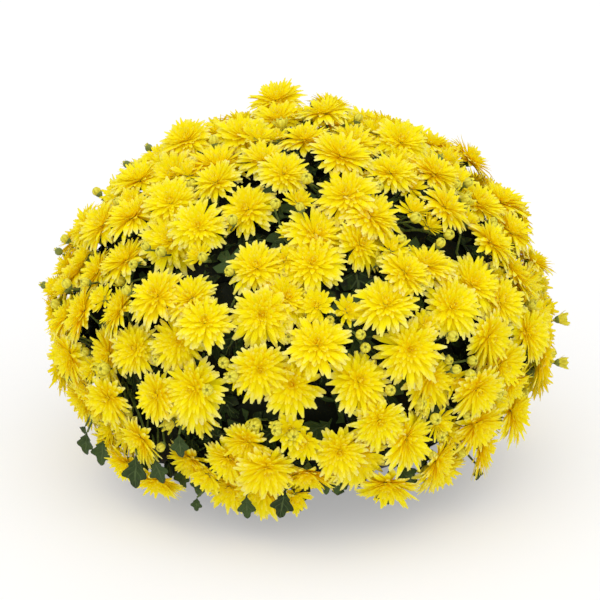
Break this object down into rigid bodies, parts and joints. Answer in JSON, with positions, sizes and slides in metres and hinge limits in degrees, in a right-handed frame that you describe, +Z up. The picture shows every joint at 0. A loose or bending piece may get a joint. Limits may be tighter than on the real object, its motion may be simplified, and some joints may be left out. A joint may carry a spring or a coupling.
{
  "type": "pot chrysanthemum",
  "caption": "Cushion-shaped pot chrysanthemum in a plain nursery pot, covered all over with small double yellow blooms over dark lobed leaves.",
  "frame": {"origin": "middle of the pot's flat underside, on the surface that the pot stands on", "axes": "+Z up along the pot's axis; the plant has no front, and -Y is the side that was modelled after"},
  "size_m": [0.4191, 0.4225, 0.3146],
  "materials": {
    "pot": "satin",
    "soil": "matte",
    "crown": "matte",
    "leaf": "matte",
    "petal": "matte"
  },
  "bodies": {
    "root": {"pot": "pot", "soil": "soil", "crown": "crown", "leafy_stem_01": "leaf", "leafy_stem_02": "leaf", "leafy_stem_03": "leaf", "leafy_stem_04": "leaf", "leafy_stem_05": "leaf", "leafy_stem_06": "leaf", "leafy_stem_07": "leaf", "leafy_stem_08": "leaf", "leafy_stem_09": "leaf", "leafy_stem_10": "leaf", "leafy_stem_11": "leaf", "leafy_stem_12": "leaf", "leafy_stem_13": "leaf", "leafy_stem_14": "leaf", "leafy_stem_15": "leaf", "leafy_stem_16": "leaf", "leafy_stem_17": "leaf", "leafy_stem_18": "leaf", "leafy_stem_19": "leaf", "leafy_stem_20": "leaf", "leafy_stem_21": "leaf", "leafy_stem_22": "leaf", "leafy_stem_23": "leaf", "leafy_stem_24": "leaf", "bloom_bunch_01": "petal", "bloom_bunch_02": "petal", "bloom_bunch_03": "petal", "bloom_bunch_04": "petal", "bloom_bunch_05": "petal", "bloom_bunch_06": "petal", "bloom_bunch_07": "petal", "bloom_bunch_08": "petal", "bloom_bunch_09": "petal", "bloom_bunch_10": "petal", "bloom_bunch_11": "petal", "bloom_bunch_12": "petal", "bloom_bunch_13": "petal", "bloom_bunch_14": "petal", "bloom_bunch_15": "petal", "bloom_bunch_16": "petal", "bloom_bunch_17": "petal", "bloom_bunch_18": "petal", "bloom_bunch_19": "petal", "bloom_bunch_20": "petal", "bloom_bunch_21": "petal", "bloom_bunch_22": "petal", "bloom_bunch_23": "petal", "bloom_bunch_24": "petal"}
  },
  "joints": []
}
